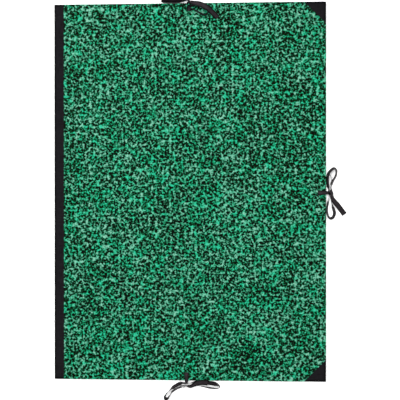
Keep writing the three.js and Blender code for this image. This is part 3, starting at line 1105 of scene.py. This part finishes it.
def bow_ribbons(sizes: FolderSizes) -> list[Ribbon]:
    """Set out the six ribbons of the three bows.

    Args:
        sizes: The folder's sizes.

    Returns:
        The ribbons, each with its route.
    """
    return [
        Ribbon(Tie.SIDE, Cover.FRONT, 0.176, (
            (1.6, 0.1, 7.0, -10, 0.88), (3.3, 0.3, 6.9, -34, 0.74), (4.7, 1.4, 6.8, -58, 0.68),
            (5.2, 3.6, 6.6, -75, 0.72), (4.8, 6.8, 6.1, -84, 0.84), (3.7, 12, 5.7, -90), (2.8, 19, 5.5, -90),
            (2.7, 29, 5.5, -90), (4.8, 37, 5.5, -90), (9.2, 42.6, 5.5, -90), (15.6, 46.6, 5.5, -90),
            (19, 43.4, 5.5, -90), (19.4, 38, 5.5, -90), (17.6, 30.6, 5.5, -90), (13.8, 24, 5.5, -90),
            (11, 17, 5.5, -90), (10.4, 10, 5.8, -88), (10.5, 5.2, 6.9, -72, 0.85), (10.2, 1, 9.2, -34, 0.7),
            (9.8, -4, 10.6, -4, 0.65), (11, -9.6, 10.7, 0, 0.72), (14.4, -15.4, 9.4, 0, 0.9),
            (20.4, -22, 6.2, -2), (27.2, -30.4, 2.8, -4), (35.4, -41, 1.0, -4),
        ), lean=26),
        Ribbon(Tie.SIDE, Cover.BACK, 0.163, (
            (2.2, -0.1, 0.9, -8, 0.9), (3.9, -0.4, 2.4, -30, 0.8), (5.2, -1.6, 3.6, -54, 0.78),
            (5.8, -3.8, 4.2, -72, 0.8), (5.6, -7, 4.7, -84, 0.88), (4.9, -12, 5.3, -90, 0.97),
            (3.8, -18, 5.5, -90), (1.9, -28, 5.5, -90), (2.0, -37, 5.5, -90), (4.4, -45, 5.5, -90),
            (8.8, -48.6, 5.5, -90), (13.4, -45.6, 5.5, -90), (15.8, -38, 5.5, -90), (13.2, -28.6, 5.5, -90),
            (10.6, -19.6, 5.2, -90, 0.9), (9, -11, 4.4, -90, 0.78), (8.2, -4, 4.3, -90, 0.75),
            (7.7, 4, 4.3, -90, 0.75), (7.8, 11, 5.0, -90, 0.9), (9.2, 18, 5.5, -106), (11.2, 23.4, 5.5, -108),
            (9.8, 28.6, 5.5, -96), (6.8, 34.6, 5.5, -90, 1),
        ), lean=26),
        Ribbon(Tie.TAIL, Cover.FRONT, 0.172, (
            (1.6, -0.1, 7.0, 10, 0.88), (3.3, -0.3, 6.9, 34, 0.74), (4.7, -1.4, 6.8, 58, 0.68),
            (5.2, -3.6, 6.6, 75, 0.72), (5.2, -6.8, 6.1, 84, 0.84), (6.2, -11.4, 5.7, 90), (8.6, -17, 5.5, 90),
            (13.4, -25, 5.5, 90), (19, -32.4, 5.5, 92), (25.8, -38.4, 5.3, 100), (31.6, -41.6, 5.1, 108),
            (35.8, -40.6, 5.0, 112), (35.8, -36.8, 5.1, 108), (29.2, -31.8, 5.4, 96), (21.6, -26.4, 5.5, 90),
            (16.6, -19.6, 5.5, 90), (13.8, -12, 5.5, 90), (12.7, -4, 5.6, 88), (12.6, 1.6, 6.9, 68, 0.85),
            (11.8, 6.2, 9.4, 32, 0.7), (9.2, 11, 11.2, 4, 0.65), (6.2, 16.6, 11.6, 0, 0.85),
            (3.6, 23.4, 11.5, 0), (2.6, 31, 11.3, 0), (3.4, 40.6, 11.1, 0),
        ), lean=-30),
        Ribbon(Tie.TAIL, Cover.BACK, 0.168, (
            (2.2, 0.1, 0.9, 8, 0.9), (3.9, 0.4, 2.4, 30, 0.8), (5.2, 1.6, 3.6, 54, 0.78), (5.8, 3.8, 4.2, 72, 0.8),
            (5.4, 7, 4.7, 84, 0.88), (4.4, 12, 5.3, 90, 0.97), (3.2, 20, 5.5, 90), (3.4, 32, 5.5, 90),
            (4.6, 44, 5.5, 90), (6.6, 55, 5.5, 90), (9.2, 62, 5.5, 92), (12.6, 63.4, 5.4, 98),
            (15, 59.6, 5.1, 110), (15.2, 52, 4.8, 120), (13.8, 42, 4.8, 120), (11.8, 31, 4.9, 112),
            (10.2, 20, 5.3, 98), (9.5, 10, 4.5, 90, 0.8), (9.6, 2, 4.5, 90, 0.8), (10, -5, 4.9, 90, 0.9),
            (11.4, -13, 5.5, 96, 1),
        ), lean=36),
        Ribbon(Tie.HEAD, Cover.FRONT, 0.173, (
            (-12.2, 0, 0.4, 0), (-10.2, 0, 0.9, 8, 0.9), (-8.5, -0.3, 2.2, 32, 0.76), (-7.2, -1.5, 3.2, 57, 0.7),
            (-6.7, -3.9, 3.8, 74, 0.74), (-6.2, -7.2, 4.5, 84, 0.85), (-5.0, -11.6, 5.2, 90, 0.97),
            (-4.4, -17, 5.4, 90), (-5.8, -25, 5.4, 90), (-10, -33, 5.4, 90), (-16.6, -37, 5.4, 90),
            (-22.4, -34.6, 5.4, 90), (-23.4, -28.6, 5.4, 90), (-19.6, -20, 5.4, 90), (-15, -12, 5.5, 90),
            (-12, -6, 6.4, 90, 0.85), (-9.8, -1, 8.4, 90, 0.65), (-6.8, 2.4, 9.0, 86, 0.6),
            (-3.0, 2.3, 9.6, 74, 0.6), (-1.2, -1.2, 10.5, 48, 0.62), (-1.5, -6, 11.4, 14, 0.7),
            (-2.8, -12, 11.5, 0, 0.85), (-4.4, -20, 11.5, 0), (-7.4, -28, 11.4, 2), (-12.4, -36.4, 10.6, 4),
            (-19.6, -45, 6.2, 6), (-28.6, -55, 1.2, 4),
        ), datum=sizes.closed_height, lean=8),
        Ribbon(Tie.HEAD, Cover.BACK, 0.189, (
            (2.2, 0.1, 0.9, 8, 0.9), (3.9, 0.4, 2.4, 30, 0.8), (5.0, 1.6, 3.6, 54, 0.78), (5.4, 3.8, 4.2, 72, 0.8),
            (4.7, 7.4, 4.7, 84, 0.88), (3.3, 12, 5.3, 90, 0.97), (2.1, 18, 5.5, 90), (1.8, 28, 5.5, 90),
            (2.0, 38, 5.5, 90), (2.2, 46, 5.5, 90), (3.2, 50.6, 5.5, 90), (5.2, 50.2, 5.5, 90),
            (5.9, 45, 5.5, 90), (5.7, 34, 5.5, 90), (5.7, 22, 5.5, 90), (6.6, 12, 5.3, 90),
            (7.8, 4, 4.6, 90, 0.85), (9.2, 1, 4.5, 90, 0.8), (10.6, 4.2, 4.6, 90, 0.8), (8.8, 12, 5.3, 104),
            (6.9, 21, 5.5, 112), (6.9, 29, 5.5, 112), (9.6, 35, 5.5, 108), (16, 38, 5.5, 106),
            (26, 38.6, 5.5, 108), (37, 37.4, 5.5, 112),
        ), lean=-26),
    ]


@dataclass
class WrappedCover:
    """The covering of one board: mottled paper with its turn-ins, and cloth on the two outer corners."""

    cover: Cover
    sizes: FolderSizes
    ties: Mapping[Tie, TieFrame]
    cloth_sink: float = 0.12 * MM
    lap: float = 0.3 * MM
    corner_round: float = 0.8 * MM
    outer_round: float = 0.6 * MM
    inner_round: float = 0.35 * MM
    clearance: float = 0.02 * MM
    start: float = -0.3

    def _box(self, sink: float) -> bmesh.types.BMesh:
        """Make the closed outline of the covering, rounded at its corners and edges.

        Args:
            sink: How far this covering lies inside the paper's outer face.

        Returns:
            The outline, running past the spine's end.
        """
        sizes = self.sizes
        low = Vector((self.start, -sizes.head_edge + sink, sink))
        high = Vector((sizes.fore_edge - sink, sizes.head_edge - sink, sizes.turn_in_top - sink))
        box = bmesh.new()
        middle, span = (low + high) / 2, high - low
        bmesh.ops.create_cube(box, size=1.0, matrix=Matrix.Translation(middle) @ Matrix.Diagonal((*span, 1)))
        upright = [e for e in box.edges if abs(e.verts[0].co.z - e.verts[1].co.z) > MM and e.verts[0].co.x > 0]
        self._bevel(box, upright, self.corner_round, 4)
        for height, radius, segments in ((low.z, self.outer_round, 4), (high.z, self.inner_round, 2)):
            rim = [e for e in box.edges if all(abs(v.co.z - height) < SAME for v in e.verts)]
            self._bevel(box, rim, radius, segments)
        return box

    @staticmethod
    def _bevel(shape: bmesh.types.BMesh, edges: list[bmesh.types.BMEdge], radius: float, segments: int) -> None:
        """Round some edges of a shape."""
        bmesh.ops.bevel(shape, geom=edges, offset=radius, offset_type="OFFSET", segments=segments, profile=0.5,
                        affect="EDGES", material=-1)

    @staticmethod
    def _cut(shape: bmesh.types.BMesh, at: Vector, normal: Vector, keep: int = 0) -> None:
        """Cut a shape along a plane.

        Args:
            shape: The shape.
            at: A point of the plane.
            normal: The plane's normal.
            keep: 0 to keep both sides, -1 for the side behind the plane, 1 for the side before it.
        """
        geometry = [*shape.verts, *shape.edges, *shape.faces]
        bmesh.ops.bisect_plane(shape, geom=geometry, dist=SAME, plane_co=at, plane_no=normal,
                               clear_outer=keep < 0, clear_inner=keep > 0)

    def _open_inside(self, shape: bmesh.types.BMesh, sink: float, spine_side: float) -> None:
        """Cut the covering off at the spine and leave only its turn-ins on the inner face.

        Args:
            shape: The closed outline.
            sink: How far this covering lies inside the paper's outer face.
            spine_side: X at which the covering ends.
        """
        sizes = self.sizes
        window_x = sizes.fore_edge - sizes.turn_in
        window_y = sizes.head_edge - sizes.turn_in
        self._cut(shape, Vector((spine_side, 0, 0)), Vector((1, 0, 0)), keep=1)
        self._cut(shape, Vector((window_x, 0, 0)), Vector((1, 0, 0)))
        for y in (-window_y, window_y):
            self._cut(shape, Vector((0, y, 0)), Vector((0, 1, 0)))
        inside = sizes.turn_in_top - sink
        window = []
        for face in shape.faces:
            middle = face.calc_center_median()
            in_window = middle.x < window_x and abs(middle.y) < window_y
            if abs(middle.z - inside) < NEAR and in_window:
                window.append(face)
        at_spine = [f for f in shape.faces if all(abs(v.co.x - spine_side) < SAME for v in f.verts)]
        bmesh.ops.delete(shape, geom=window + at_spine, context="FACES")

    def _corner_plane(self, headward: int, inward: float) -> tuple[Vector, Vector]:
        """Find the plane of a cloth corner's long side, moved inwards by a lap.

        Args:
            headward: 1 for the corner at the head, -1 for the tail.
            inward: The lap.

        Returns:
            A point of the plane and its normal.
        """
        sizes = self.sizes
        normal = Vector((1, headward, 0)).normalized()
        at = Vector((sizes.fore_edge - sizes.corner_leg, headward * sizes.head_edge, 0)) - normal * inward
        return at, normal

    def _press_channels(self, shape: bmesh.types.BMesh) -> None:
        """Press the channel of each ribbon into the paper and open its slit.

        Args:
            shape: The paper, as it lies on the back cover.
        """
        sizes = self.sizes
        inner = -sizes.slit_from_edge - sizes.slit_width / 2
        outer = -sizes.slit_from_edge + sizes.slit_width / 2
        half = sizes.channel_half
        for tie in self.ties.values():
            for out in (inner - sizes.covering, inner, outer):
                self._cut(shape, tie.place(out, 0, 0), tie.out)
            for along in (-half - sizes.covering, -half, half, half + sizes.covering):
                self._cut(shape, tie.place(0, along, 0), tie.along)
            slit = []
            for face in shape.faces:
                place = face.calc_center_median() - tie.at
                in_slit = inner < place.dot(tie.out) < outer and abs(place.dot(tie.along)) < half
                if in_slit and place.z < sizes.covering:
                    slit.append(face)
            bmesh.ops.delete(shape, geom=slit, context="FACES")
            for vert in shape.verts:
                place = vert.co - tie.at
                pressed = place.dot(tie.out) > inner - NEAR and abs(place.dot(tie.along)) < half + NEAR
                if pressed and vert.co.z < sizes.channel:
                    vert.co.z = sizes.channel

    def _for_cover(self, shape: bmesh.types.BMesh) -> bmesh.types.BMesh:
        """Turn a back cover's piece upside down where it is for the front cover.

        Args:
            shape: The piece, as it lies on the back cover.

        Returns:
            The same shape, in its place on this cover.
        """
        bmesh.ops.remove_doubles(shape, verts=shape.verts, dist=NEAR)
        if self.cover is Cover.FRONT:
            bmesh.ops.scale(shape, vec=Vector((1, 1, -1)), verts=shape.verts)
            bmesh.ops.translate(shape, vec=Vector((0, 0, self.sizes.closed_height)), verts=shape.verts)
        bmesh.ops.recalc_face_normals(shape, faces=shape.faces)
        return shape

    def paper(self, maker: Maker) -> bpy.types.Object:
        """Make the mottled paper.

        Args:
            maker: Dresses the paper.

        Returns:
            The paper.
        """
        sizes = self.sizes
        shape = self._box(0.0)
        self._open_inside(shape, 0.0, sizes.cloth_edge)
        for headward in (-1, 1):
            at, normal = self._corner_plane(headward, 0.0)
            self._cut(shape, at, normal, keep=-1)
        self._press_channels(shape)
        piece = maker.piece(f"{self.cover.value}_mottled_side", self._for_cover(shape), Slot.MOTTLED_PAPER,
                            sizes.covering - self.clearance)
        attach(piece, self.cover.body)
        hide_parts(f"{self.cover.value}_paper")
        return piece

    def corner(self, maker: Maker, headward: int) -> bpy.types.Object:
        """Make the cloth of one outer corner, which the paper laps by a hair.

        Args:
            maker: Dresses the cloth.
            headward: 1 for the corner at the head, -1 for the tail.

        Returns:
            The cloth.
        """
        sizes = self.sizes
        shape = self._box(self.cloth_sink)
        self._open_inside(shape, self.cloth_sink, sizes.cloth_edge)
        at, normal = self._corner_plane(headward, self.lap)
        self._cut(shape, at, normal, keep=1)
        name = f"{self.cover.value}_{end_name(headward)}_corner"
        thickness = sizes.covering - self.cloth_sink - self.clearance
        piece = maker.piece(name, self._for_cover(shape), Slot.BOOK_CLOTH, thickness)
        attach(piece, self.cover.body)
        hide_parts(f"{name}_cloth")
        return piece

    def build(self, maker: Maker) -> None:
        """Make the paper and both corners."""
        self.paper(maker)
        for headward in (-1, 1):
            self.corner(maker, headward)


@dataclass
class SpineCloth:
    """The strip of cloth round the spine, glued to both covers and turned in at head and tail."""

    sizes: FolderSizes
    sink: float = 0.12 * MM
    lap: float = 0.5 * MM
    facets: int = 24
    fold: float = 0.45 * MM
    ease: float = 0.29  # share of a fold's radius by which its middle lies inside its corner
    lengthwise: int = 24
    end_room: float = 3 * MM
    hem: float = 0.2 * MM
    clearance: float = 0.02 * MM

    def _arc(self, radius: float) -> list[Vector]:
        """Points of the half round, from its lower to its upper end, at Y 0.

        Args:
            radius: The round's radius.

        Returns:
            The points.
        """
        sizes = self.sizes
        points = []
        for i in range(self.facets + 1):
            angle = math.pi * (-0.5 - i / self.facets)
            points.append(Vector((
                sizes.spine_centre + radius * math.cos(angle), 0, sizes.spine_radius + radius * math.sin(angle),
            )))
        return points

    def _round_cover(self, inwards: float) -> list[Vector]:
        """Section from the lower cover round the spine to the upper one, moved inwards.

        Args:
            inwards: Distance inside the cloth's outer face.

        Returns:
            The points, at Y 0.
        """
        sizes = self.sizes
        start = sizes.cloth_edge + self.lap
        low, high = self.sink + inwards, sizes.closed_height - self.sink - inwards
        flat = [start, (start + sizes.board_spine_edge) / 2, sizes.board_spine_edge]
        below = [Vector((x, 0, low)) for x in flat]
        above = [Vector((x, 0, high)) for x in reversed(flat)]
        return [*below, *self._arc(sizes.spine_radius - self.sink - inwards), *above]

    @staticmethod
    def _at(section: Iterable[Vector], y: float) -> list[Vector]:
        """Place a section at a height along Y."""
        return [Vector((point.x, y, point.z)) for point in section]

    def _strip(self, maker: Maker) -> bpy.types.Object:
        """Make the strip with its rolled ends, and bake its placement into its mesh.

        Args:
            maker: Dresses the strip.

        Returns:
            The strip.
        """
        sizes = self.sizes
        end = sizes.head_edge - self.sink
        eased = self.ease * self.fold
        roll = ((self.fold, 0.0), (eased, eased), (0.0, self.fold))
        rows = [self._at(self._round_cover(inwards), -end + back) for back, inwards in reversed(roll)]
        for i in range(1, self.lengthwise):
            rows.append(self._at(self._round_cover(0.0), (2 * i / self.lengthwise - 1) * (end - self.end_room)))
        rows += [self._at(self._round_cover(inwards), end - back) for back, inwards in roll]
        shape = sheet_through(rows)
        thickness = sizes.covering - self.sink - self.clearance
        strip = maker.piece("spine_strip", shape, Slot.BOOK_CLOTH, thickness)
        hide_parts("spine_cloth")
        self._bend(strip)
        return strip

    def _bend(self, piece: bpy.types.Object) -> None:
        """Bake a spine piece's placement into its mesh."""
        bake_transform(piece)

    def _round_hem(self, maker: Maker, headward: int) -> bpy.types.Object:
        """Make the cloth that is turned in behind the round of the spine at one end.

        Args:
            maker: Dresses the hem.
            headward: 1 for the head, -1 for the tail.

        Returns:
            The hem.
        """
        sizes = self.sizes
        end = sizes.head_edge - self.sink
        outer = sizes.spine_radius - self.sink - self.fold
        levels = ((0.0, outer), (0.12 * MM, outer - 0.06 * MM), (sizes.turn_in, outer - 0.08 * MM))
        rows = [self._at(self._arc(radius), headward * (end - back)) for back, radius in levels]
        if headward < 0:
            rows.reverse()
        name = f"spine_round_hem_{end_name(headward)}"
        hem = maker.piece(name, sheet_through(rows), Slot.BOOK_CLOTH, self.hem, offset=1.0)
        self._bend(hem)
        return hem

    def _cover_hem(self, maker: Maker, cover: Cover, headward: int) -> bpy.types.Object:
        """Make the cloth that is turned in over a board's end and round its edge at the spine.

        Args:
            maker: Dresses the hem.
            cover: The board's cover.
            headward: 1 for the head, -1 for the tail.

        Returns:
            The hem.
        """
        sizes = self.sizes
        end, top = sizes.head_edge - self.sink, sizes.turn_in_top - self.sink
        fold, eased = self.fold, self.ease * self.fold
        section = [(end, self.sink + fold), (end, top - fold), (end - eased, top - eased),
                   (end - fold, top), (end - sizes.turn_in, top)]
        round_edge = sizes.board_spine_edge - sizes.covering
        heights = [sizes.closed_height - z if cover is Cover.FRONT else z for _, z in section]
        rows = [[Vector((round_edge, headward * (end - sizes.turn_in), z)) for z in heights]]
        for x in (round_edge, sizes.cloth_edge + self.lap):
            rows.append([Vector((x, headward * y, z)) for (y, _), z in zip(section, heights)])
        if (headward > 0) == (cover is Cover.FRONT):
            rows.reverse()
        thickness = sizes.covering - self.sink - self.clearance
        name = f"{cover.value}_spine_hem_{end_name(headward)}"
        hem = maker.piece(name, sheet_through(rows), Slot.BOOK_CLOTH, thickness)
        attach(hem, cover.body)
        return hem

    def build(self, maker: Maker) -> None:
        """Make the strip and its turned-in hems.

        Args:
            maker: Dresses the pieces.
        """
        self._strip(maker)
        for headward in (-1, 1):
            self._round_hem(maker, headward)
            for cover in Cover:
                self._cover_hem(maker, cover, headward)


@dataclass
class Boards:
    """The boards and linings, whose own solids are dressed."""

    finishes: Finishes

    def build(self) -> None:
        """Dress the boards and linings of both covers."""
        for cover in Cover:
            self._dress(f"{cover.value}_board", Slot.GREYBOARD)
            self._dress(f"{cover.value}_lining", Slot.LINING_PAPER)

    def _dress(self, node: str, slot: Slot) -> None:
        """Give a solid of the frame its finish.

        Args:
            node: The solid's name.
            slot: The record's material slot.
        """
        thing = bpy.data.objects[node]
        for place in thing.material_slots:
            place.material = self.finishes.by_slot[slot]
        log.info("%s: dressed", node)


def main() -> None:
    """Build the studio, the ribbons and the covers in order."""
    logging.basicConfig(level=logging.INFO, format="%(message)s")
    sizes = FolderSizes()
    ties = tie_frames(sizes)
    finishes = Finishes.mixed()
    Studio().build(finishes)
    maker = Maker(finishes)
    for ribbon in bow_ribbons(sizes):
        ribbon.build(maker, sizes, ties[ribbon.tie])
    for cover in Cover:
        WrappedCover(cover, sizes, ties).build(maker)
    SpineCloth(sizes).build(maker)
    Boards(finishes).build()


if __name__ == "__main__":
    main()
